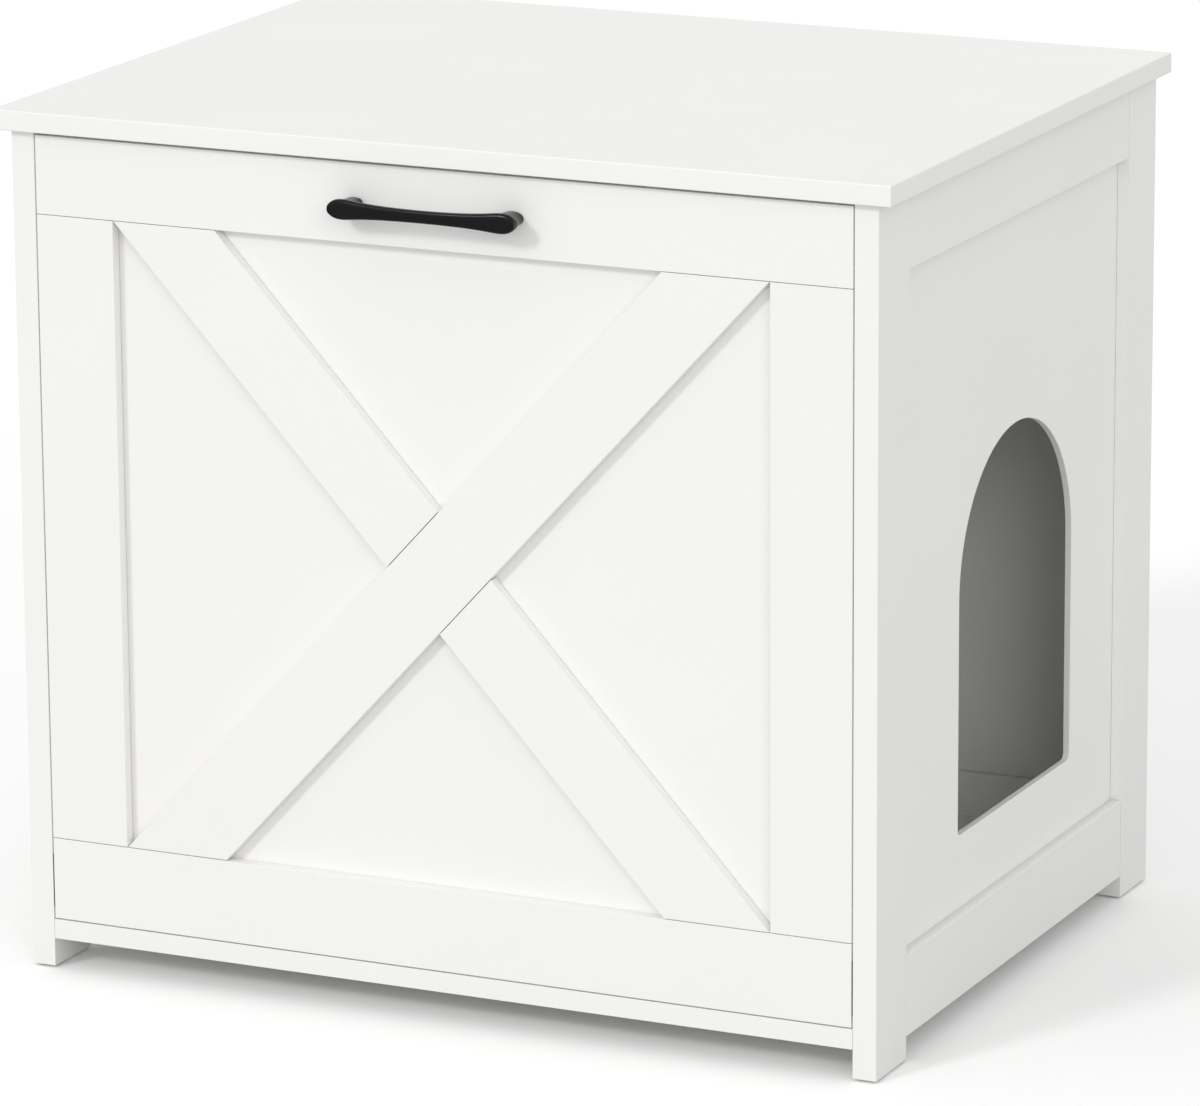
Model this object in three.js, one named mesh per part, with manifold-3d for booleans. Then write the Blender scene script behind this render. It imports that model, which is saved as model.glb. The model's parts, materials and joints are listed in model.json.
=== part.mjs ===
// Cat litter box cabinet: a framed board carcass with a drop-front door and an arched side entrance.
// Millimetres, +X to the right, +Y to the rear, +Z up. Until the last section the pieces are placed
// from the middle of the front, with y = 0 on the door's front face and z = 0 on the floor.

import * as THREE from 'three';
import { mergeVertices } from 'three/addons/utils/BufferGeometryUtils.js';
import Module from 'manifold-3d';

const wasm = await Module();
wasm.setup();

// ---- Driving dimensions ----

// Carcass
const bodyWidth = 676;
const bodyDepth = 532;
const cabinetHeight = 645;
const topThickness = 15;
const topSideOverhang = 12;
const topFrontOverhang = 8;
const postWidth = 18;
const postDepth = 55;
const upperRailHeight = 56;
const lowerRailHeight = 60;
const lowerRailLift = 18.5;
const bottomThickness = 15;
const bottomLift = 23;
const crossbarThickness = 15;
const crossbarHeight = 60;
const frontCrossbarSetback = 2.5;
const rearRailThickness = 15;
const rearUpperRailHeight = 60;
const rearLowerRailHeight = 55;
const rearLowerRailLift = 18.5;

// Thin panels, held in grooves of the posts and rails
const sidePanelThickness = 5;
const sidePanelRecess = 9;
const backPanelThickness = 5;
const backPanelRecess = 5;
const grooveDepth = 6;

// Arched entrance in the right side
const entranceWidth = 219;
const entranceHeight = 283;
const entranceSill = 133;
const entranceCornerRadius = 5;
const entranceOffset = 15;

// Door
const doorSideGap = 1;
const doorBottomGap = 1;
const doorTopGap = 3;
const trimThickness = 9;
const doorPanelThickness = 9;
const doorTopRailHeight = 57.5;
const doorBottomRailHeight = 61.5;
const stileWidth = 62;
const braceWidth = 60;

// Handle
const handleLength = 146;
const handleProjection = 25;
const handleHoleSpacing = 128;
const handleDrop = 29.5;
const gripMiddleHeight = 8.2;
const gripEndHeight = 14.8;
const gripMiddleDepth = 6.5;
const gripEndDepth = 7.5;
const gripBow = 2;
const footTopWidth = 14;
const footTopHeight = 13.4;
const footWidth = 11;
const footHeight = 9;
const handleScrewRadius = 2;
const handleScrewGrip = 9;
const handleHeadRadius = 4;
const handleHeadHeight = 2.6;
const counterboreDepth = 3;

// Pivot hinges
const pivotRise = 16;
const pinRadius = 1.75;
const pinReach = 8;
const pinClearance = 0.3;
const leafThickness = 1.5;
const leafHeight = 40;
const leafInset = 1;
const leafDrop = 7.5;
const leafScrewHeights = [17, 31];

// Small countersunk screws
const screwShankRadius = 1.4;
const screwHeadRadius = 2.8;
const hingeScrewLength = 12;

// Magnets and strike plates
const magnetSpread = 150;
const magnetRadius = 5;
const magnetLength = 11;
const magnetFlangeRadius = 6.5;
const magnetGap = 0.3;
const strikeLength = 40;
const strikeHeight = 14;
const strikeThickness = 1;
const strikeSpikeSpread = 15;
const strikeSpikeRadius = 1.2;
const strikeSpikeLength = 6;

// Cam fittings
const camRadius = 7.2;
const camDepth = 12;
const camFromEnd = 24;
const boltRadius = 3;
const boltGrip = 10;
const topCamInset = 90;
const bottomCamInset = 27.5;

// Foot glides
const glideThickness = 1.5;
const glideRadius = 8;
const glideNailRadius = 0.9;
const glideNailLength = 12;

// Clearances; the wider joint gap shows as a line between neighbouring frame boards, and the trim
// gap as one along the foot of the door's trim
const seatGap = 0.2;
const jointGap = 0.6;
const trimGap = 0.5;
const boreGap = 0.3;

// ---- Derived positions ----

const halfBody = bodyWidth / 2;
const halfOpening = halfBody - postWidth;
const topUnderside = cabinetHeight - topThickness;
const postTop = topUnderside - seatGap;
const postBottom = glideThickness + seatGap;
const rearPostFront = bodyDepth - postDepth;
const upperRailBottom = topUnderside - upperRailHeight;
const lowerRailTop = lowerRailLift + lowerRailHeight;
const bottomTop = bottomLift + bottomThickness;
const rearRailFront = bodyDepth - rearRailThickness;
const rearUpperRailBottom = topUnderside - rearUpperRailHeight;
const rearUpperRailMiddle = (rearUpperRailBottom + topUnderside) / 2;
const rearLowerRailTop = rearLowerRailLift + rearLowerRailHeight;
const backPanelBack = bodyDepth - backPanelRecess;
const backPanelFront = backPanelBack - backPanelThickness;
const sidePanelOuter = halfBody - sidePanelRecess;
const sidePanelInner = sidePanelOuter - sidePanelThickness;
const crossbarBottom = topUnderside - crossbarHeight;
const crossbarMiddle = (crossbarBottom + topUnderside) / 2;

const halfDoor = halfOpening - doorSideGap;
const doorBottom = bottomTop + doorBottomGap;
const doorTop = topUnderside - doorTopGap;
const doorPanelFront = trimThickness + trimGap;
const doorBack = doorPanelFront + doorPanelThickness;
const doorBottomRailTop = doorBottom + doorBottomRailHeight;
const doorTopRailBottom = doorTop - doorTopRailHeight;
const halfDoorOpening = halfDoor - stileWidth;

const frontCrossbarFront = doorBack + frontCrossbarSetback;
const frontCrossbarBack = frontCrossbarFront + crossbarThickness;

const pivotY = trimThickness / 2;
const pivotZ = doorBottom + pivotRise;
const leafBottom = pivotZ - leafDrop;
const leafTop = leafBottom + leafHeight;
const leafBack = doorBack - leafInset;
const leafScrewY = doorPanelFront + doorPanelThickness / 2;

const handleZ = doorTop - handleDrop;
const strikeBack = doorBack + seatGap;
const strikeFace = strikeBack + strikeThickness;
const magnetFace = strikeFace + magnetGap;

// ---- Finishes ----

const paint = () => new THREE.MeshStandardMaterial({ color: 0xf1f1ef, roughness: 0.45, metalness: 0 });
const black = () => new THREE.MeshStandardMaterial({ color: 0x16181a, roughness: 0.35, metalness: 0.4 });
const zinc = () => new THREE.MeshStandardMaterial({ color: 0xb9bcc0, roughness: 0.35, metalness: 1 });
const nylon = () => new THREE.MeshStandardMaterial({ color: 0xe4e2dc, roughness: 0.55, metalness: 0 });

// ---- Solid helpers ----

function toSolid(geometry) {
  const plain = geometry.clone();
  plain.deleteAttribute('normal');
  plain.deleteAttribute('uv');
  const merged = mergeVertices(plain);
  const corners = merged.index.array;
  const triangles = [];
  for (let i = 0; i < corners.length; i += 3) {
    const [a, b, c] = [corners[i], corners[i + 1], corners[i + 2]];
    if (a !== b && b !== c && c !== a) triangles.push(a, b, c);
  }
  const vertProperties = new Float32Array(merged.attributes.position.array);
  const triVerts = new Uint32Array(triangles);
  return new wasm.Manifold(new wasm.Mesh({ numProp: 3, vertProperties, triVerts }));
}

function toGeometry(solid) {
  const mesh = solid.getMesh();
  const geometry = new THREE.BufferGeometry();
  geometry.setAttribute('position', new THREE.BufferAttribute(mesh.vertProperties, 3));
  geometry.setIndex(new THREE.BufferAttribute(mesh.triVerts, 1));
  geometry.computeVertexNormals();
  return geometry;
}

function cut(geometry, tools) {
  let solid = toSolid(geometry);
  for (const tool of tools) {
    solid = solid.subtract(toSolid(tool));
  }
  return toGeometry(solid);
}

function join(geometries) {
  let solid = toSolid(geometries[0]);
  for (const geometry of geometries.slice(1)) {
    solid = solid.add(toSolid(geometry));
  }
  return toGeometry(solid);
}

// A box between two corners, given in any order.
function block(cornerA, cornerB) {
  const a = new THREE.Vector3(...cornerA);
  const b = new THREE.Vector3(...cornerB);
  const box = new THREE.Box3().setFromPoints([a, b]);
  const size = box.getSize(new THREE.Vector3());
  const middle = box.getCenter(new THREE.Vector3());
  const geometry = new THREE.BoxGeometry(size.x, size.y, size.z);
  geometry.translate(middle.x, middle.y, middle.z);
  return geometry;
}

// Turns a shape made along local +Y so that it starts at a point and runs along a direction.
function aim(geometry, start, direction) {
  const along = new THREE.Vector3(...direction).normalize();
  const turn = new THREE.Quaternion().setFromUnitVectors(new THREE.Vector3(0, 1, 0), along);
  geometry.applyQuaternion(turn);
  geometry.translate(...start);
  return geometry;
}

function rod(start, direction, length, radius, sides = 20) {
  const geometry = new THREE.CylinderGeometry(radius, radius, length, sides);
  geometry.translate(0, length / 2, 0);
  return aim(geometry, start, direction);
}

// A turned piece: profile points are [radius, distance along the axis], from the start onwards.
function turned(profile, start, direction, sides = 20) {
  const points = profile.map(([radius, distance]) => new THREE.Vector2(radius, distance));
  return aim(new THREE.LatheGeometry(points, sides), start, direction);
}

// A flat shape in x and z, given thickness from y = 0 to the rear.
function plateFacingFront(points, thickness) {
  const shape = new THREE.Shape(points.map(([x, z]) => new THREE.Vector2(x, z)));
  const geometry = new THREE.ExtrudeGeometry(shape, { depth: thickness, bevelEnabled: false });
  geometry.rotateX(Math.PI / 2);
  geometry.translate(0, thickness, 0);
  return geometry;
}

const cabinet = new THREE.Group();
const door = new THREE.Group();

// Adds a piece to a group as a mesh that stands at the middle of its own box.
function add(group, name, geometry, material) {
  geometry.computeBoundingBox();
  const middle = geometry.boundingBox.getCenter(new THREE.Vector3());
  geometry.translate(-middle.x, -middle.y, -middle.z);
  const mesh = new THREE.Mesh(geometry, material);
  mesh.name = name;
  mesh.position.copy(middle);
  group.add(mesh);
}

const sides = [
  { name: 'left', sign: -1 },
  { name: 'right', sign: 1 },
];

// ---- Fasteners ----

// A cross-shaped driver recess, cut into a screw or cam face.
function crossRecess(face, inward, reach, width, depth) {
  const axis = new THREE.Vector3(...inward);
  const first = Math.abs(axis.z) > 0.5 ? new THREE.Vector3(1, 0, 0) : new THREE.Vector3(0, 0, 1);
  const second = new THREE.Vector3().crossVectors(axis, first);
  const arm = (long, short) => {
    const spread = long.clone().multiplyScalar(reach).add(short.clone().multiplyScalar(width / 2));
    const low = new THREE.Vector3(...face).addScaledVector(axis, -depth).sub(spread);
    const high = new THREE.Vector3(...face).addScaledVector(axis, depth).add(spread);
    return block(low.toArray(), high.toArray());
  };
  return [arm(first, second), arm(second, first)];
}

// Countersunk wood screw: face is the centre of its flush head, inward the way it drives.
function countersunkScrew(face, inward, length) {
  const headHeight = screwHeadRadius - screwShankRadius;
  const profile = [[0, 0], [screwHeadRadius, 0], [screwShankRadius, headHeight],
    [screwShankRadius, length - screwShankRadius], [0, length]];
  const body = turned(profile.reverse().map(([r, d]) => [r, -d]), face, inward.map((v) => -v), 16);
  return cut(body, crossRecess(face, inward, screwHeadRadius * 0.55, screwHeadRadius * 0.25, 0.8));
}

// The hole that such a screw sits in, a little larger all round and open at its face.
function countersunkHole(face, inward, length) {
  const head = screwHeadRadius + boreGap;
  const shank = screwShankRadius + boreGap;
  const profile = [[0, -length - boreGap], [shank, -length - boreGap], [shank, shank - head],
    [head, 0], [head, 1], [0, 1]];
  return turned(profile, face, inward.map((v) => -v), 16);
}

// Cam fittings: each joins a board to its neighbour with a bolt at half the board's thickness.
const camJoints = [];
for (const { name, sign } of sides) {
  const endX = sign * (halfOpening - seatGap);
  const camX = endX - sign * camFromEnd;
  const topCamX = endX - sign * topCamInset;
  const topCamZ = topUnderside - camFromEnd;
  camJoints.push(
    { name: `front_crossbar_cam_${name}`, board: 'front_crossbar', into: `${name}_front_post`,
      face: [camX, frontCrossbarBack, crossbarMiddle], inward: [0, -1, 0], bolt: [sign, 0, 0],
      thickness: crossbarThickness },
    { name: `rear_rail_cam_${name}`, board: 'rear_upper_rail', into: `${name}_rear_post`,
      face: [camX, rearRailFront, rearUpperRailMiddle], inward: [0, 1, 0], bolt: [sign, 0, 0],
      thickness: rearRailThickness },
    { name: `top_front_cam_${name}`, board: 'front_crossbar', into: 'top_board',
      face: [topCamX, frontCrossbarBack, topCamZ], inward: [0, -1, 0], bolt: [0, 0, 1],
      thickness: crossbarThickness },
    { name: `top_rear_cam_${name}`, board: 'rear_upper_rail', into: 'top_board',
      face: [topCamX, rearRailFront, topCamZ], inward: [0, 1, 0], bolt: [0, 0, 1],
      thickness: rearRailThickness },
    { name: `bottom_front_cam_${name}`, board: 'bottom_board', into: `${name}_front_post`,
      face: [camX, bottomCamInset, bottomLift], inward: [0, 0, 1], bolt: [sign, 0, 0],
      thickness: bottomThickness },
    { name: `bottom_rear_cam_${name}`, board: 'bottom_board', into: `${name}_rear_post`,
      face: [camX, bodyDepth - bottomCamInset, bottomLift], inward: [0, 0, 1], bolt: [sign, 0, 0],
      thickness: bottomThickness },
  );
}

function boltStart(joint) {
  return joint.face.map((value, i) => value + joint.inward[i] * joint.thickness / 2);
}

function camBores(joint) {
  const mouth = joint.face.map((value, i) => value - joint.inward[i]);
  const boltLength = camFromEnd + seatGap + boltGrip + boreGap;
  return [
    rod(mouth, joint.inward, 1 + camDepth + boreGap, camRadius + boreGap, 24),
    rod(boltStart(joint), joint.bolt, boltLength, boltRadius + boreGap, 12),
  ];
}

// The bores of every cam joint that touches a named board.
function boresFor(board) {
  return camJoints.filter((joint) => joint.board === board || joint.into === board).flatMap(camBores);
}

for (const joint of camJoints) {
  const disc = rod(joint.face, joint.inward, camDepth, camRadius, 24);
  const bolt = rod(boltStart(joint), joint.bolt, camFromEnd + seatGap + boltGrip, boltRadius, 12);
  const recess = crossRecess(joint.face, joint.inward, 4, 1.6, 2.5);
  add(cabinet, joint.name, cut(join([disc, bolt]), recess), zinc());
}

// ---- Carcass boards ----

add(cabinet, 'top_board', cut(block(
  [-halfBody - topSideOverhang, -topFrontOverhang, topUnderside],
  [halfBody + topSideOverhang, bodyDepth, cabinetHeight],
), boresFor('top_board')), paint());

add(cabinet, 'bottom_board', cut(block(
  [-halfOpening + seatGap, 0, bottomLift],
  [halfOpening - seatGap, rearRailFront - seatGap, bottomTop],
), boresFor('bottom_board')), paint());

const magnetBores = sides.map(({ sign }) => rod(
  [sign * magnetSpread, frontCrossbarFront - 1, crossbarMiddle], [0, 1, 0],
  1 + magnetLength + boreGap, magnetRadius + boreGap,
));

add(cabinet, 'front_crossbar', cut(block(
  [-halfOpening + seatGap, frontCrossbarFront, crossbarBottom],
  [halfOpening - seatGap, frontCrossbarBack, postTop],
), [...boresFor('front_crossbar'), ...magnetBores]), paint());

// The back: two rails between the rear posts, with the thin back panel in a groove all round.
const backGroove = block(
  [-halfOpening - grooveDepth - seatGap, backPanelFront - seatGap,
    rearLowerRailTop - grooveDepth - seatGap],
  [halfOpening + grooveDepth + seatGap, backPanelBack + seatGap,
    rearUpperRailBottom + grooveDepth + seatGap],
);

add(cabinet, 'rear_upper_rail', cut(block(
  [-halfOpening + seatGap, rearRailFront, rearUpperRailBottom],
  [halfOpening - seatGap, bodyDepth, postTop],
), [backGroove, ...boresFor('rear_upper_rail')]), paint());

add(cabinet, 'rear_lower_rail', cut(block(
  [-halfOpening + seatGap, rearRailFront, rearLowerRailLift],
  [halfOpening - seatGap, bodyDepth, rearLowerRailTop],
), [backGroove]), paint());

add(cabinet, 'back_panel', block(
  [-halfOpening - grooveDepth, backPanelFront, rearLowerRailTop - grooveDepth],
  [halfOpening + grooveDepth, backPanelBack, rearUpperRailBottom + grooveDepth],
), paint());

// ---- Side frames ----

// The entrance: straight jambs under a half-round head, with small rounded corners at the sill.
function entranceOutline() {
  const radius = entranceWidth / 2;
  const middle = bodyDepth / 2 + entranceOffset;
  const spring = entranceSill + entranceHeight - radius;
  const corner = entranceCornerRadius;
  const outline = new THREE.Path();
  outline.moveTo(middle - radius + corner, entranceSill);
  outline.lineTo(middle + radius - corner, entranceSill);
  outline.absarc(middle + radius - corner, entranceSill + corner, corner, -Math.PI / 2, 0, false);
  outline.absarc(middle, spring, radius, 0, Math.PI, false);
  outline.absarc(middle - radius + corner, entranceSill + corner, corner, Math.PI, Math.PI * 1.5, false);
  return outline;
}

function sidePanel(sign) {
  const shape = new THREE.Shape();
  const front = postDepth - grooveDepth;
  const back = rearPostFront + grooveDepth;
  const low = lowerRailTop - grooveDepth;
  const high = upperRailBottom + grooveDepth;
  shape.moveTo(front, low);
  shape.lineTo(back, low);
  shape.lineTo(back, high);
  shape.lineTo(front, high);
  shape.closePath();
  if (sign > 0) shape.holes.push(entranceOutline());
  const options = { depth: sidePanelThickness, bevelEnabled: false, curveSegments: 24 };
  const geometry = new THREE.ExtrudeGeometry(shape, options);
  const axes = new THREE.Matrix4().makeBasis(
    new THREE.Vector3(0, 1, 0), new THREE.Vector3(0, 0, 1), new THREE.Vector3(1, 0, 0),
  );
  geometry.applyMatrix4(axes);
  geometry.translate(sign > 0 ? sidePanelInner : -sidePanelOuter, 0, 0);
  return geometry;
}

for (const { name, sign } of sides) {
  const inner = sign * halfOpening;
  const outer = sign * halfBody;
  const sideGroove = block(
    [sign * (sidePanelInner - seatGap), postDepth - grooveDepth - seatGap,
      lowerRailTop - grooveDepth - seatGap],
    [sign * (sidePanelOuter + seatGap), rearPostFront + grooveDepth + seatGap,
      upperRailBottom + grooveDepth + seatGap],
  );
  const postX = (inner + outer) / 2;
  const nailBore = (y) => rod([postX, y, 0], [0, 0, 1],
    postBottom + glideNailLength + boreGap, glideNailRadius + boreGap, 12);

  const leafMortise = block(
    [inner - sign, leafInset - seatGap, leafBottom - seatGap],
    [inner + sign * (leafThickness + seatGap), leafBack + seatGap, leafTop + seatGap],
  );
  const postScrewHoles = leafScrewHeights.map((rise) => countersunkHole(
    [inner, leafScrewY, leafBottom + rise], [sign, 0, 0], hingeScrewLength,
  ));

  add(cabinet, `${name}_front_post`, cut(
    block([inner, 0, postBottom], [outer, postDepth, postTop]),
    [sideGroove, leafMortise, nailBore(postDepth / 2), ...postScrewHoles,
      ...boresFor(`${name}_front_post`)],
  ), paint());

  add(cabinet, `${name}_rear_post`, cut(
    block([inner, rearPostFront, postBottom], [outer, bodyDepth, postTop]),
    [sideGroove, backGroove, nailBore(bodyDepth - postDepth / 2),
      ...boresFor(`${name}_rear_post`)],
  ), paint());

  add(cabinet, `${name}_upper_rail`, cut(block(
    [inner, postDepth + jointGap, upperRailBottom], [outer, rearPostFront - jointGap, postTop],
  ), [sideGroove]), paint());

  add(cabinet, `${name}_lower_rail`, cut(block(
    [inner, postDepth + jointGap, lowerRailLift], [outer, rearPostFront - jointGap, lowerRailTop],
  ), [sideGroove]), paint());

  add(cabinet, `${name}_side_panel`, sidePanel(sign), paint());

  // Foot glides: a low disc with a nail that stands in the post's bore.
  const glideProfile = [[0, 0], [glideRadius - 0.5, 0], [glideRadius, 0.5],
    [glideRadius, glideThickness], [glideNailRadius, glideThickness],
    [glideNailRadius, glideThickness + glideNailLength - 1], [0, glideThickness + glideNailLength]];
  for (const [place, y] of [['front', postDepth / 2], ['rear', bodyDepth - postDepth / 2]]) {
    add(cabinet, `${name}_${place}_glide`, turned(glideProfile, [postX, y, 0], [0, 0, 1]), nylon());
  }

  // Hinge leaf let into the post, with the pin that the door turns on.
  const postLeaf = block(
    [inner, leafInset, leafBottom], [inner + sign * leafThickness, leafBack, leafTop],
  );
  const pin = rod([inner + sign * leafThickness / 2, pivotY, pivotZ], [-sign, 0, 0],
    leafThickness / 2 + doorSideGap + pinReach, pinRadius, 16);
  add(cabinet, `${name}_hinge_post_leaf`, cut(join([postLeaf, pin]), postScrewHoles), zinc());

  leafScrewHeights.forEach((rise, i) => {
    const face = [inner, leafScrewY, leafBottom + rise];
    const screw = countersunkScrew(face, [sign, 0, 0], hingeScrewLength);
    add(cabinet, `${name}_post_hinge_screw_${i + 1}`, screw, zinc());
  });

  // Press-in magnet in the front crossbar, with a flange on the bar's face.
  const flangeThickness = frontCrossbarFront - seatGap - magnetFace;
  const magnetProfile = [[0, 0], [magnetFlangeRadius, 0], [magnetFlangeRadius, flangeThickness],
    [magnetRadius, flangeThickness], [magnetRadius, flangeThickness + seatGap + magnetLength],
    [0, flangeThickness + seatGap + magnetLength]];
  const magnet = turned(magnetProfile, [sign * magnetSpread, magnetFace, crossbarMiddle], [0, 1, 0]);
  add(cabinet, `${name}_magnet`, magnet, nylon());
}

// ---- Door ----

const doorMortises = [];
const doorLeafHoles = [];
const pinBores = [];
const spikeHoles = [];
const handleScrewBores = [];

for (const { name, sign } of sides) {
  const edge = sign * halfDoor;
  doorMortises.push(block(
    [edge + sign, leafInset - seatGap, leafBottom - seatGap],
    [edge - sign * (leafThickness + seatGap), leafBack + seatGap, leafTop + seatGap],
  ));
  pinBores.push(rod([edge + sign, pivotY, pivotZ], [-sign, 0, 0],
    1 + pinReach + 1, pinRadius + pinClearance, 16));
  const leafHoles = leafScrewHeights.map((rise) => countersunkHole(
    [edge, leafScrewY, leafBottom + rise], [-sign, 0, 0], hingeScrewLength,
  ));
  doorLeafHoles.push(...leafHoles);

  const leaf = block(
    [edge, leafInset, leafBottom], [edge - sign * leafThickness, leafBack, leafTop],
  );
  add(door, `${name}_hinge_door_leaf`, cut(leaf, [pinBores.at(-1), ...leafHoles]), zinc());

  leafScrewHeights.forEach((rise, i) => {
    const face = [edge, leafScrewY, leafBottom + rise];
    const screw = countersunkScrew(face, [-sign, 0, 0], hingeScrewLength);
    add(door, `${name}_door_hinge_screw_${i + 1}`, screw, zinc());
  });

  // Strike plate opposite the magnet, with two spikes pressed into the door.
  const strikeX = sign * magnetSpread;
  const plate = block(
    [strikeX - strikeLength / 2, strikeBack, crossbarMiddle - strikeHeight / 2],
    [strikeX + strikeLength / 2, strikeFace, crossbarMiddle + strikeHeight / 2],
  );
  const spikeStarts = [-1, 1].map((end) => (
    [strikeX + end * strikeSpikeSpread, strikeBack + strikeThickness / 2, crossbarMiddle]));
  const spikes = spikeStarts.map((start) => turned([[0, 0], [strikeSpikeRadius, 0],
    [strikeSpikeRadius, strikeThickness / 2 + strikeSpikeLength - strikeSpikeRadius],
    [0, strikeThickness / 2 + strikeSpikeLength]], start, [0, -1, 0], 12));
  add(door, `${name}_strike_plate`, join([plate, ...spikes]), zinc());
  spikeHoles.push(...spikeStarts.map((start) => rod(start, [0, -1, 0],
    strikeThickness / 2 + strikeSpikeLength + boreGap, strikeSpikeRadius + boreGap, 12)));

  // Machine screw through the door into the handle's foot, its head sunk in a counterbore.
  const screwX = sign * handleHoleSpacing / 2;
  const seatY = doorBack - counterboreDepth;
  const headBack = seatY + seatGap + handleHeadHeight;
  handleScrewBores.push(join([
    rod([screwX, doorBack + 1, handleZ], [0, -1, 0], 1 + counterboreDepth, handleHeadRadius + boreGap),
    rod([screwX, doorBack + 1, handleZ], [0, -1, 0], doorBack + 2, handleScrewRadius + boreGap),
  ]));
  const headReach = handleHeadHeight;
  const screwLength = headBack + handleScrewGrip;
  const profile = [[0, -screwLength], [handleScrewRadius, 1 - screwLength],
    [handleScrewRadius, -headReach], [handleHeadRadius, -headReach],
    [handleHeadRadius, -0.8], [handleHeadRadius - 0.8, 0], [0, 0]];
  const screw = turned(profile, [screwX, headBack, handleZ], [0, 1, 0]);
  const recess = crossRecess([screwX, headBack, handleZ], [0, -1, 0], 2.2, 0.9, 1.4);
  add(door, `handle_screw_${name}`, cut(screw, recess), zinc());
}

add(door, 'door_panel', cut(block(
  [-halfDoor, doorPanelFront, doorBottom], [halfDoor, doorBack, doorTop],
), [...doorMortises, ...doorLeafHoles, ...spikeHoles, ...handleScrewBores]), paint());

add(door, 'door_top_rail', cut(block(
  [-halfDoor, 0, doorTopRailBottom], [halfDoor, trimThickness, doorTop],
), handleScrewBores), paint());

add(door, 'door_bottom_rail', cut(block(
  [-halfDoor, 0, doorBottom], [halfDoor, trimThickness, doorBottomRailTop],
), [...doorMortises, ...pinBores]), paint());

for (const { name, sign } of sides) {
  add(door, `door_${name}_stile`, block(
    [sign * halfDoorOpening, 0, doorBottomRailTop + jointGap],
    [sign * halfDoor, trimThickness, doorTopRailBottom - jointGap],
  ), paint());
}

// Braces: the long one runs from the bottom left corner of the frame to the top right one, with
// level ends on the rails. The half braces run from the other two corners to its edges.
const braceHalfSpan = halfDoorOpening - jointGap;
const braceLow = doorBottomRailTop + jointGap;
const braceHigh = doorTopRailBottom - jointGap;
const braceRise = braceHigh - braceLow;

// Length of a brace's level end, from its width and the frame that it crosses.
function levelCut(span, rise, width) {
  const a = rise ** 2 - width ** 2;
  const b = 2 * width ** 2 * span;
  const c = -(width ** 2) * (span ** 2 + rise ** 2);
  return (-b + Math.sqrt(b ** 2 - 4 * a * c)) / (2 * a);
}

function meet(pointA, directionA, pointB, directionB) {
  const cross = directionA[0] * directionB[1] - directionA[1] * directionB[0];
  const [dx, dz] = [pointB[0] - pointA[0], pointB[1] - pointA[1]];
  const t = (dx * directionB[1] - dz * directionB[0]) / cross;
  return [pointA[0] + directionA[0] * t, pointA[1] + directionA[1] * t];
}

const braceCut = levelCut(2 * braceHalfSpan, braceRise, braceWidth);
const braceRun = 2 * braceHalfSpan - braceCut;
const rising = [braceRun, braceRise];
const falling = [braceRun, -braceRise];

const longBrace = [
  [-braceHalfSpan, braceLow],
  [-braceHalfSpan + braceCut, braceLow],
  [braceHalfSpan, braceHigh],
  [braceHalfSpan - braceCut, braceHigh],
];

const sideShift = jointGap * Math.hypot(braceRun, braceRise) / braceRise;
const longBraceEdge = [-braceHalfSpan - sideShift, braceLow];
const upperStart = [-braceHalfSpan, braceHigh];
const upperEnd = [-braceHalfSpan + braceCut, braceHigh];
const upperBrace = [
  upperStart,
  meet(upperStart, falling, longBraceEdge, rising),
  meet(upperEnd, falling, longBraceEdge, rising),
  upperEnd,
];
const lowerBrace = upperBrace.map(([x, z]) => [-x, braceLow + braceHigh - z]);

add(door, 'door_long_brace', plateFacingFront(longBrace, trimThickness), paint());
add(door, 'door_upper_half_brace', plateFacingFront(upperBrace, trimThickness), paint());
add(door, 'door_lower_half_brace', plateFacingFront(lowerBrace, trimThickness), paint());

// ---- Handle ----

// Skins a row of rings, each with the same count of points, and closes both ends.
function loft(rings) {
  const count = rings[0].length;
  const middle = (ring) => ring.reduce((sum, p) => sum.add(p), new THREE.Vector3()).divideScalar(count);
  const points = [...rings.flat(), middle(rings[0]), middle(rings.at(-1))];
  const index = [];
  for (let r = 0; r + 1 < rings.length; r += 1) {
    for (let i = 0; i < count; i += 1) {
      const j = (i + 1) % count;
      const [a, b] = [r * count + i, r * count + j];
      index.push(a, b, a + count, b, b + count, a + count);
    }
  }
  const last = (rings.length - 1) * count;
  for (let i = 0; i < count; i += 1) {
    const j = (i + 1) % count;
    index.push(j, i, points.length - 2);
    index.push(last + i, last + j, points.length - 1);
  }
  const geometry = new THREE.BufferGeometry().setFromPoints(points);
  geometry.setIndex(index);
  return geometry;
}

// Half-size of the grip at a place along it: slim in the middle, flared and rounded at its ends.
const gripHalf = handleLength / 2;
const gripFlare = (share) => THREE.MathUtils.smoothstep(share, 0.1, 0.95);

function gripRing(share) {
  const distance = Math.abs(share);
  const round = Math.sqrt(Math.max(0, 1 - ((distance - 0.9) / 0.1) ** 2));
  const close = distance > 0.9 ? 0.25 + 0.75 * round : 1;
  const halfHeight = THREE.MathUtils.lerp(gripMiddleHeight, gripEndHeight, gripFlare(distance)) / 2;
  const halfDepth = THREE.MathUtils.lerp(gripMiddleDepth, gripEndDepth, gripFlare(distance)) / 2;
  const centreY = -handleProjection + halfDepth + gripBow * distance ** 2;
  const ring = [];
  const ringSides = 12;
  for (let i = 0; i < ringSides; i += 1) {
    const angle = (i / ringSides) * Math.PI * 2;
    const y = centreY + Math.cos(angle) * halfDepth * close;
    const z = handleZ + Math.sin(angle) * halfHeight * close;
    ring.push(new THREE.Vector3(share * gripHalf, y, z));
  }
  return ring;
}

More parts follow.
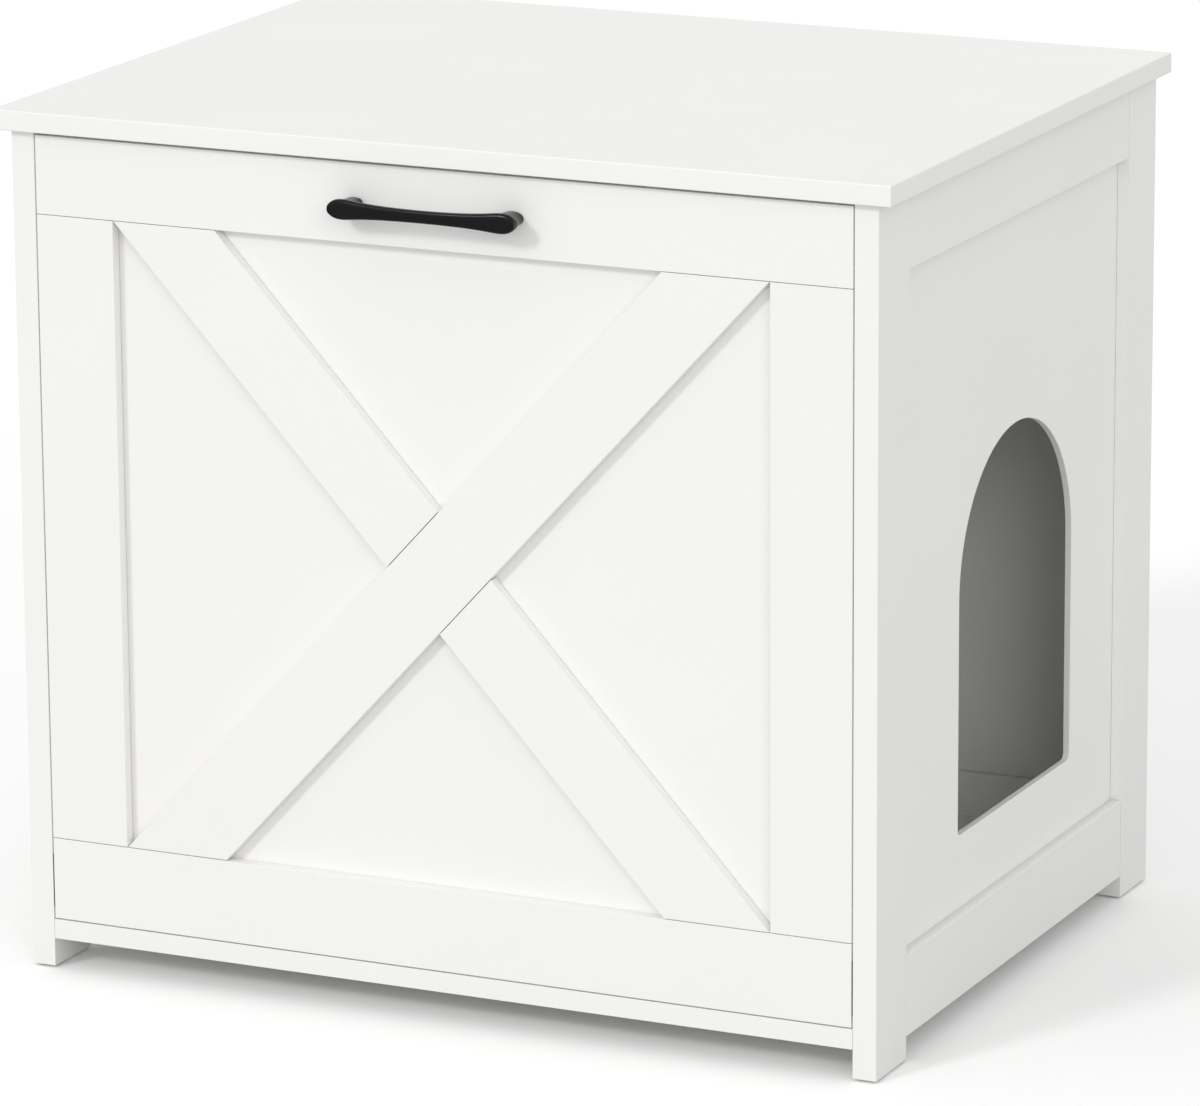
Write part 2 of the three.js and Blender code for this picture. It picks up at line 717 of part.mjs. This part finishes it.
// A foot runs from inside the grip's end to the door, a little inwards and slimmer as it goes.
function footRing(sign, travel) {
  const startX = gripHalf - gripEndHeight / 2;
  const x = sign * THREE.MathUtils.lerp(startX, handleHoleSpacing / 2, travel);
  const y = THREE.MathUtils.lerp(-handleProjection + gripBow + gripEndDepth / 2, -seatGap, travel);
  const halfHeight = THREE.MathUtils.lerp(footTopHeight, footHeight, travel) / 2;
  const halfWidth = THREE.MathUtils.lerp(footTopWidth, footWidth, travel) / 2;
  const ring = [];
  const ringSides = 16;
  for (let i = 0; i < ringSides; i += 1) {
    const angle = (i / ringSides) * Math.PI * 2;
    ring.push(new THREE.Vector3(x + Math.cos(angle) * halfWidth, y, handleZ + Math.sin(angle) * halfHeight));
  }
  return ring.reverse();
}

const gripShares = [-1, -0.98, -0.95, -0.9, -0.8, -0.65, -0.45, -0.2, 0, 0.2, 0.45, 0.65, 0.8, 0.9,
  0.95, 0.98, 1];
const footTravels = [0, 0.35, 0.7, 1];
const grip = loft(gripShares.map(gripRing));
const feet = sides.map(({ sign }) => loft(footTravels.map((travel) => footRing(sign, travel))));
const footBores = sides.map(({ sign }) => rod([sign * handleHoleSpacing / 2, 1, handleZ], [0, -1, 0],
  1 + handleScrewGrip + 1, handleScrewRadius + boreGap));
add(door, 'handle', cut(join([grip, ...feet]), footBores), black());

// ---- The whole object, its origin under the middle of its box ----

const object = new THREE.Group();
object.add(cabinet, door);
object.position.y = (handleProjection - bodyDepth) / 2;

export default object;
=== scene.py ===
# A cat litter box cabinet in white lacquered fibreboard: a cross-braced door that drops forward on two
# pins, a black cast handle, and an arched entrance for the cat in the right side.
# Metres, +X to the right, +Y to the rear, +Z up, with z = 0 on the floor.

import json
import math

import bmesh
import bpy
from mathutils import Matrix, Vector

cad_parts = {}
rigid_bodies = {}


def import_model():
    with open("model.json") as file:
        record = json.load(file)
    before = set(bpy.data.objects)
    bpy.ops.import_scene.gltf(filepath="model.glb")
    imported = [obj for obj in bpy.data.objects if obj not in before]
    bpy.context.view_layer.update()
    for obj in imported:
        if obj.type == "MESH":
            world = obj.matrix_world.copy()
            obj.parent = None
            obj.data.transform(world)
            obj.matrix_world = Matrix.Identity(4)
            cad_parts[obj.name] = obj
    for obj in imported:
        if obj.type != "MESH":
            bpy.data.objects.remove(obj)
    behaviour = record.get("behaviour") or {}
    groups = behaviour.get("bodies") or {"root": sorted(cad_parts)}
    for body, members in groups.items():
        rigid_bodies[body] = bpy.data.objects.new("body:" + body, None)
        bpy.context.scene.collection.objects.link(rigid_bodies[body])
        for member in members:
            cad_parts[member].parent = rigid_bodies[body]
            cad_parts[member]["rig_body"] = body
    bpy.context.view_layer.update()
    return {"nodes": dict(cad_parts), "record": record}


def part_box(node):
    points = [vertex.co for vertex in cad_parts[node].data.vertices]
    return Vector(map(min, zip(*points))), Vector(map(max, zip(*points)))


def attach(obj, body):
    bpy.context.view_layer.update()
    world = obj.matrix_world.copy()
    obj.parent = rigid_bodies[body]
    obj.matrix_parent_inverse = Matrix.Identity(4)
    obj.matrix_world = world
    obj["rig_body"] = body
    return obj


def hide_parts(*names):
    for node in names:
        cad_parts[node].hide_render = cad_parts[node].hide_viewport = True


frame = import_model()

MM = 0.001

# ---- Sizes ----

# Eased edges: their radii, their steps, and the angle above which two faces meet in an edge
TOP_BOARD_EDGE = 0.9 * MM
BOARD_EDGE = 0.35 * MM
EDGE_SEGMENTS = 3
EDGE_ANGLE = math.radians(40)

# Corners nearer than this are one corner, and faces that turn less than this are one flat face
SAME_PLACE = 0.01 * MM
FLAT_ANGLE = math.radians(0.5)
# The arch's points are thinned to this spacing, so that its edge can be eased
ARCH_POINT_SPACING = 0.45 * MM

# Handle: places along its half length, each with its height and depth as a share of the end's,
# and how many millimetres the grip stands back there
HANDLE_STATIONS = [
    (0.00, 0.62, 0.90, 0.0),
    (0.25, 0.64, 0.90, 0.1),
    (0.50, 0.72, 0.93, 0.6),
    (0.70, 0.88, 0.97, 1.1),
    (0.80, 1.02, 1.00, 1.5),
    (0.895, 1.03, 1.00, 1.8),
    (0.955, 0.80, 1.00, 2.0),
    (0.988, 0.50, 1.00, 2.1),
    (1.000, 0.26, 1.00, 2.1),
]
HANDLE_END_DEPTH = 7.6 * MM
HANDLE_EDGE = 1.8 * MM
HANDLE_SMOOTHING = 3
RING_REACH = 0.05 * MM
# Each foot: where it starts, as a share of the half length, the place that it narrows towards,
# and how squarely a face must look back to belong to it
FOOT_INNER_SHARE = 0.70
FOOT_CENTRE = 62.5 * MM
FOOT_FACING = 0.8
# Steps from the grip's back to the door: how far, and the foot's width and height as shares
FOOT_STEPS = [(1.5 * MM, 0.94, 1.00), (5.0 * MM, 0.84, 0.98), (6.0 * MM, 0.90, 0.97),
              (4.2 * MM, 0.99, 1.00), (0.6 * MM, 1.00, 1.00)]

# Studio
FLOOR_RADIUS = 40.0
FLOOR_SIDES = 128
# How bright the surroundings and how pale the floor are to the cabinet; the camera sees both white
AMBIENT = 0.825
FLOOR_BOUNCE = 0.60
FLOOR_GLOW = 0.03
# Each lamp: where its light comes from, with the length as its share of a face turned to it,
# and how wide it looks
KEY_FROM = Vector((-0.08, -0.19, 0.12))
KEY_ANGLE = math.radians(10)
FILL_FROM = Vector((0.09, -0.11, 0.05))
FILL_ANGLE = math.radians(30)

# Camera
CAMERA_PLACE = Vector((2.1807, -4.6380, 1.6165))
CAMERA_TURN = math.radians(25.1)
CAMERA_TILT = math.radians(14.511)
CAMERA_ROLL = math.radians(-0.374)
SENSOR_WIDTH = 36.0
LENS = 214.0


# ---- Modelling helpers ----


def deselect_everything():
    if bpy.context.object and bpy.context.object.mode != "OBJECT":
        bpy.ops.object.mode_set(mode="OBJECT")
    bpy.ops.object.select_all(action="DESELECT")


def pick(piece):
    """Makes one piece the only one that is selected, and the active one."""
    deselect_everything()
    piece.select_set(True)
    bpy.context.view_layer.objects.active = piece


def name_piece(name):
    """Names the piece that an operator has just added, with its mesh, and returns it."""
    piece = bpy.context.object
    piece.name = name
    piece.data.name = name
    return piece


def select_where(piece, kind, test):
    """In edit mode, selects only the vertices, edges or faces that pass a test."""
    bpy.ops.mesh.select_mode(type=kind)
    bpy.ops.mesh.select_all(action="DESELECT")
    mesh = bmesh.from_edit_mesh(piece.data)
    for part in {"VERT": mesh.verts, "EDGE": mesh.edges, "FACE": mesh.faces}[kind]:
        part.select_set(bool(test(part)))
    mesh.select_flush_mode()
    bmesh.update_edit_mesh(piece.data)


def copy_solid(node, name, spacing=SAME_PLACE):
    """A copy of a CAD solid with its loose corners joined and its flat faces made whole."""
    piece = bpy.data.objects.new(name, frame["nodes"][node].data.copy())
    piece.data.name = name
    piece.data.materials.clear()
    bpy.context.scene.collection.objects.link(piece)
    pick(piece)
    bpy.ops.object.mode_set(mode="EDIT")
    bpy.ops.mesh.select_all(action="SELECT")
    bpy.ops.mesh.remove_doubles(threshold=spacing)
    bpy.ops.mesh.dissolve_limited(angle_limit=FLAT_ANGLE)
    bpy.ops.object.mode_set(mode="OBJECT")
    return piece


def ease_edges(piece, radius, test):
    """Rounds the edges that pass a test."""
    pick(piece)
    bpy.ops.object.mode_set(mode="EDIT")
    select_where(piece, "EDGE", test)
    bpy.ops.mesh.bevel(offset=radius, segments=EDGE_SEGMENTS, affect="EDGES", clamp_overlap=True)
    bpy.ops.object.mode_set(mode="OBJECT")


def shade(piece):
    """Smooth over the eased edges, and true to the flat on the broad faces."""
    pick(piece)
    bpy.ops.object.shade_smooth_by_angle(angle=EDGE_ANGLE)
    even = piece.modifiers.new("even_faces", "WEIGHTED_NORMAL")
    even.keep_sharp = True
    bpy.ops.object.modifier_apply(modifier=even.name)


def is_sharp(edge):
    return len(edge.link_faces) == 2 and edge.calc_face_angle() > EDGE_ANGLE


def is_outer_edge(low, high):
    """A test for sharp edges on the outside of a box, which leaves grooves and bores crisp."""
    def on_planes(point):
        return {(axis, side) for axis in range(3) for side, corner in enumerate((low, high))
                if abs(point[axis] - corner[axis]) < SAME_PLACE}

    def test(edge):
        shared = on_planes(edge.verts[0].co) & on_planes(edge.verts[1].co)
        return is_sharp(edge) and len(shared) >= 2

    return test


def finish_piece(piece, material, nodes):
    """Gives a piece its material and the body that it rides on, and hides the CAD nodes that it stands
    for.
    """
    piece.data.materials.clear()
    piece.data.materials.append(material)
    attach(piece, frame["nodes"][nodes[0]]["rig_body"])
    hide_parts(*nodes)


# ---- Materials ----


def colour(code):
    """Linear colour of an sRGB hex value."""
    parts = [int(code[i:i + 2], 16) / 255 for i in (1, 3, 5)]
    linear = [c / 12.92 if c <= 0.04045 else ((c + 0.055) / 1.055) ** 2.4 for c in parts]
    return (*linear, 1.0)


def add_node(tree, kind, settings=None, links=None):
    """Adds a node, sets its properties and inputs, and links other nodes' outputs to its inputs."""
    made = tree.nodes.new(kind)
    for name, value in (settings or {}).items():
        if isinstance(name, str) and hasattr(made, name):
            setattr(made, name, value)
        else:
            made.inputs[name].default_value = value
    for name, (source, output) in (links or {}).items():
        tree.links.new(source.outputs[output], made.inputs[name])
    return made


def new_material(name):
    material = bpy.data.materials.new(name)
    material.use_nodes = True
    material.node_tree.nodes.clear()
    return material


def lacquered_fibreboard():
    """Medium density fibreboard sprayed with white satin lacquer. The lacquer gives an even, nearly
    white face with a soft sheen; the spray leaves a faint orange peel, and the tone drifts a little."""
    material = new_material("lacquered_fibreboard")
    tree = material.node_tree
    place = add_node(tree, "ShaderNodeTexCoord")
    drift = add_node(tree, "ShaderNodeTexNoise", {"Scale": 1 / (160 * MM), "Detail": 3.0},
                     {"Vector": (place, "Object")})
    tone = add_node(tree, "ShaderNodeMix",
                    {"data_type": "RGBA", 6: colour("#F4F4F2"), 7: colour("#F1F0ED")},
                    {0: (drift, "Fac")})
    peel = add_node(tree, "ShaderNodeTexNoise", {"Scale": 1 / (2.2 * MM), "Detail": 2.0},
                    {"Vector": (place, "Object")})
    sheen = add_node(tree, "ShaderNodeMapRange", {"To Min": 0.38, "To Max": 0.50},
                     {"Value": (drift, "Fac")})
    relief = add_node(tree, "ShaderNodeBump", {"Strength": 0.25, "Distance": 0.04 * MM},
                      {"Height": (peel, "Fac")})
    lacquer = add_node(tree, "ShaderNodeBsdfPrincipled", {"IOR": 1.5},
                       {"Base Color": (tone, 2), "Roughness": (sheen, "Result"),
                        "Normal": (relief, "Normal")})
    add_node(tree, "ShaderNodeOutputMaterial", {}, {"Surface": (lacquer, "BSDF")})
    return material


def powder_coated_casting():
    """Zinc casting with a black satin powder coat: near black, smooth but for a fine pebble, and a
    little lighter where an edge turns to the light."""
    material = new_material("powder_coated_casting")
    tree = material.node_tree
    place = add_node(tree, "ShaderNodeTexCoord")
    pebble = add_node(tree, "ShaderNodeTexNoise", {"Scale": 1 / (0.9 * MM), "Detail": 2.0},
                      {"Vector": (place, "Object")})
    cloud = add_node(tree, "ShaderNodeTexNoise", {"Scale": 1 / (18 * MM), "Detail": 3.0},
                     {"Vector": (place, "Object")})
    tone = add_node(tree, "ShaderNodeMix",
                    {"data_type": "RGBA", 6: colour("#07080A"), 7: colour("#0C0D10")},
                    {0: (cloud, "Fac")})
    sheen = add_node(tree, "ShaderNodeMapRange", {"To Min": 0.15, "To Max": 0.24},
                     {"Value": (cloud, "Fac")})
    relief = add_node(tree, "ShaderNodeBump", {"Strength": 0.2, "Distance": 0.03 * MM},
                      {"Height": (pebble, "Fac")})
    coat = add_node(tree, "ShaderNodeBsdfPrincipled", {"IOR": 1.5, "Specular IOR Level": 0.22},
                    {"Base Color": (tone, 2), "Roughness": (sheen, "Result"),
                     "Normal": (relief, "Normal")})
    add_node(tree, "ShaderNodeOutputMaterial", {}, {"Surface": (coat, "BSDF")})
    return material


def zinc_plated_steel():
    """Stamped and turned steel with bright zinc plate: cool grey, softly mirroring, with a cloudy
    spangle from the bath and fine rub marks from tumbling."""
    material = new_material("zinc_plated_steel")
    tree = material.node_tree
    place = add_node(tree, "ShaderNodeTexCoord")
    cloud = add_node(tree, "ShaderNodeTexNoise", {"Scale": 1 / (3 * MM), "Detail": 4.0},
                     {"Vector": (place, "Object")})
    tone = add_node(tree, "ShaderNodeMix",
                    {"data_type": "RGBA", 6: colour("#C3C7CC"), 7: colour("#A9ADB3")},
                    {0: (cloud, "Fac")})
    sheen = add_node(tree, "ShaderNodeMapRange", {"To Min": 0.22, "To Max": 0.40},
                     {"Value": (cloud, "Fac")})
    rub = add_node(tree, "ShaderNodeTexNoise", {"Scale": 1 / (0.4 * MM), "Detail": 2.0},
                   {"Vector": (place, "Object")})
    relief = add_node(tree, "ShaderNodeBump", {"Strength": 0.15, "Distance": 0.02 * MM},
                      {"Height": (rub, "Fac")})
    plate = add_node(tree, "ShaderNodeBsdfPrincipled", {"Metallic": 1.0},
                     {"Base Color": (tone, 2), "Roughness": (sheen, "Result"),
                      "Normal": (relief, "Normal")})
    add_node(tree, "ShaderNodeOutputMaterial", {}, {"Surface": (plate, "BSDF")})
    return material


def moulded_nylon():
    """Injection-moulded nylon: milky off-white with a dull, slightly uneven skin."""
    material = new_material("moulded_nylon")
    tree = material.node_tree
    place = add_node(tree, "ShaderNodeTexCoord")
    flow = add_node(tree, "ShaderNodeTexNoise", {"Scale": 1 / (6 * MM), "Detail": 3.0},
                    {"Vector": (place, "Object")})
    tone = add_node(tree, "ShaderNodeMix",
                    {"data_type": "RGBA", 6: colour("#E9E6DF"), 7: colour("#DEDACF")},
                    {0: (flow, "Fac")})
    sheen = add_node(tree, "ShaderNodeMapRange", {"To Min": 0.45, "To Max": 0.6},
                     {"Value": (flow, "Fac")})
    relief = add_node(tree, "ShaderNodeBump", {"Strength": 0.2, "Distance": 0.02 * MM},
                      {"Height": (flow, "Fac")})
    skin = add_node(tree, "ShaderNodeBsdfPrincipled", {"IOR": 1.53},
                    {"Base Color": (tone, 2), "Roughness": (sheen, "Result"),
                     "Normal": (relief, "Normal")})
    add_node(tree, "ShaderNodeOutputMaterial", {}, {"Surface": (skin, "BSDF")})
    return material


def studio_floor_paint():
    """Matt white floor that renders as pure white in full light and keeps the cabinet's shadow."""
    material = new_material("studio_floor_paint")
    tree = material.node_tree
    path = add_node(tree, "ShaderNodeLightPath")
    tone = add_node(tree, "ShaderNodeMapRange", {"To Min": FLOOR_BOUNCE, "To Max": 1.0},
                    {"Value": (path, "Is Camera Ray")})
    matt = add_node(tree, "ShaderNodeBsdfDiffuse", {}, {"Color": (tone, "Result")})
    lift = add_node(tree, "ShaderNodeEmission", {"Strength": FLOOR_GLOW})
    both = add_node(tree, "ShaderNodeAddShader", {}, {0: (matt, "BSDF"), 1: (lift, "Emission")})
    add_node(tree, "ShaderNodeOutputMaterial", {}, {"Surface": (both, "Shader")})
    return material


LACQUER = lacquered_fibreboard()
COAT = powder_coated_casting()
ZINC = zinc_plated_steel()
NYLON = moulded_nylon()


# ---- Boards ----

white_nodes = [part["node"] for part in frame["record"]["subparts"]
               if part["material_slot"] == "white_board"]
# The braces run at a slant, so their edges don't lie on the sides of their boxes
BRACES = [node for node in white_nodes if node.endswith("brace")]


def eased_board(node):
    """One board of the cabinet, with its outer edges eased as they are before lacquering."""
    arched = node == "right_side_panel"
    spacing = ARCH_POINT_SPACING if arched else SAME_PLACE
    board = copy_solid(node, "lacquered_" + node, spacing)
    test = is_sharp if arched or node in BRACES else is_outer_edge(*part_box(node))
    ease_edges(board, TOP_BOARD_EDGE if node == "top_board" else BOARD_EDGE, test)
    shade(board)
    finish_piece(board, LACQUER, [node])


for node in white_nodes:
    eased_board(node)


# ---- Handle ----


def ring_at(x):
    """A test for the corners of the ring at one place along the handle."""
    return lambda vertex: abs(vertex.co.x - x) < RING_REACH


def cast_handle():
    """Bow handle: a bar with flat rounded sides, slim in the middle and flared at its ends, on two
    feet that run back to the door."""
    low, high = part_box("handle")
    half = (high.x - low.x) / 2
    height = high.z - low.z
    middle_z = (low.z + high.z) / 2
    middle_y = low.y + HANDLE_END_DEPTH / 2
    deselect_everything()
    bpy.ops.mesh.primitive_cube_add(size=1, location=(0, middle_y, middle_z))
    handle = name_piece("cast_bow_handle")
    handle.scale = (2 * half, HANDLE_END_DEPTH, height)
    bpy.ops.object.transform_apply(location=True, rotation=True, scale=True)
    bpy.ops.object.mode_set(mode="EDIT")
    select_where(handle, "EDGE", lambda edge: abs(edge.verts[0].co.x - edge.verts[1].co.x) > half)
    bpy.ops.mesh.bevel(offset=HANDLE_EDGE, segments=1, affect="EDGES")

    # Cut the bar at each station, then set each ring's height, depth and set-back.
    places = sorted({sign * share * half for share, *_ in HANDLE_STATIONS[:-1] for sign in (-1, 1)})
    for x in places:
        bpy.ops.mesh.select_all(action="SELECT")
        bpy.ops.mesh.bisect(plane_co=(x, middle_y, middle_z), plane_no=(1, 0, 0))
    for share, tall, deep, back in HANDLE_STATIONS:
        for x in {share * half, -share * half}:
            select_where(handle, "VERT", ring_at(x))
            bpy.ops.transform.resize(value=(1, deep, tall), center_override=(x, low.y, middle_z))
            bpy.ops.transform.translate(value=(0, back * MM, 0))

    # Run a foot back to the door from the flat back of each end.
    inner = FOOT_INNER_SHARE * half
    for sign in (-1, 1):
        select_where(handle, "FACE", lambda face: face.normal.y > FOOT_FACING
                     and sign * face.calc_center_median().x > inner)
        for travel, wide, tall in FOOT_STEPS:
            bpy.ops.mesh.extrude_region_move(TRANSFORM_OT_translate={"value": (0, travel, 0)})
            centre = (sign * FOOT_CENTRE, 0, middle_z)
            bpy.ops.transform.resize(value=(wide, 1, tall), center_override=centre)
    bpy.ops.object.mode_set(mode="OBJECT")

    smooth = handle.modifiers.new("cast_form", "SUBSURF")
    smooth.levels = smooth.render_levels = HANDLE_SMOOTHING
    bpy.ops.object.modifier_apply(modifier=smooth.name)
    fit_to_box(handle, low, high)
    bpy.ops.object.shade_smooth()
    finish_piece(handle, COAT, ["handle"])


def fit_to_box(piece, low, high):
    """Stretches a piece so that it fills a box."""
    pick(piece)
    corners = [vertex.co for vertex in piece.data.vertices]
    have_low = Vector([min(corner[axis] for corner in corners) for axis in range(3)])
    have_high = Vector([max(corner[axis] for corner in corners) for axis in range(3)])
    want, have = high - low, have_high - have_low
    stretch = Matrix.Diagonal([want[axis] / have[axis] for axis in range(3)]).to_4x4()
    piece.data.transform(Matrix.Translation(low) @ stretch @ Matrix.Translation(-have_low))


cast_handle()


# ---- Metal and nylon fittings ----


def smooth_fitting(node, name, material):
    """A small turned or stamped fitting, with smooth round sides."""
    fitting = copy_solid(node, name)
    shade(fitting)
    finish_piece(fitting, material, [node])


for part in frame["record"]["subparts"]:
    if part["material_slot"] == "zinc_steel":
        smooth_fitting(part["node"], "plated_" + part["node"], ZINC)
    if part["material_slot"] == "white_nylon":
        smooth_fitting(part["node"], "moulded_" + part["node"], NYLON)


# ---- Studio ----


def lay_floor():
    deselect_everything()
    bpy.ops.mesh.primitive_circle_add(vertices=FLOOR_SIDES, radius=FLOOR_RADIUS, fill_type="NGON")
    floor = name_piece("studio_floor")
    floor.data.materials.append(studio_floor_paint())


def hang_world():
    """Even white surroundings: soft light on the cabinet, and pure white behind it."""
    world = bpy.data.worlds.new("white_studio")
    bpy.context.scene.world = world
    world.use_nodes = True
    tree = world.node_tree
    tree.nodes.clear()
    path = add_node(tree, "ShaderNodeLightPath")
    strength = add_node(tree, "ShaderNodeMapRange", {"To Min": AMBIENT, "To Max": 1.0},
                        {"Value": (path, "Is Camera Ray")})
    sky = add_node(tree, "ShaderNodeBackground", {"Color": (1.0, 1.0, 1.0, 1.0)},
                   {"Strength": (strength, "Result")})
    add_node(tree, "ShaderNodeOutputWorld", {}, {"Surface": (sky, "Background")})


def hang_lamp(name, light_from, angle):
    lamp = bpy.data.lights.new(name, "SUN")
    lamp.energy = light_from.length * math.pi
    lamp.angle = angle
    holder = bpy.data.objects.new(name, lamp)
    holder.rotation_euler = light_from.to_track_quat("Z", "Y").to_euler()
    bpy.context.scene.collection.objects.link(holder)


def set_camera():
    forward = Vector((-math.sin(CAMERA_TURN) * math.cos(CAMERA_TILT),
                      math.cos(CAMERA_TURN) * math.cos(CAMERA_TILT), -math.sin(CAMERA_TILT)))
    level = Vector((math.cos(CAMERA_TURN), math.sin(CAMERA_TURN), 0))
    upright = level.cross(forward)
    right = level * math.cos(CAMERA_ROLL) + upright * math.sin(CAMERA_ROLL)
    up = upright * math.cos(CAMERA_ROLL) - level * math.sin(CAMERA_ROLL)
    lens = bpy.data.cameras.new("studio_camera")
    lens.sensor_width = SENSOR_WIDTH
    lens.lens = LENS
    camera = bpy.data.objects.new("studio_camera", lens)
    axes = Matrix((right, up, -forward)).transposed().to_4x4()
    camera.matrix_world = Matrix.Translation(CAMERA_PLACE) @ axes
    bpy.context.scene.collection.objects.link(camera)
    bpy.context.scene.camera = camera


lay_floor()
hang_world()
hang_lamp("key_lamp", KEY_FROM, KEY_ANGLE)
hang_lamp("fill_lamp", FILL_FROM, FILL_ANGLE)
set_camera()
bpy.context.scene.view_settings.view_transform = "Standard"
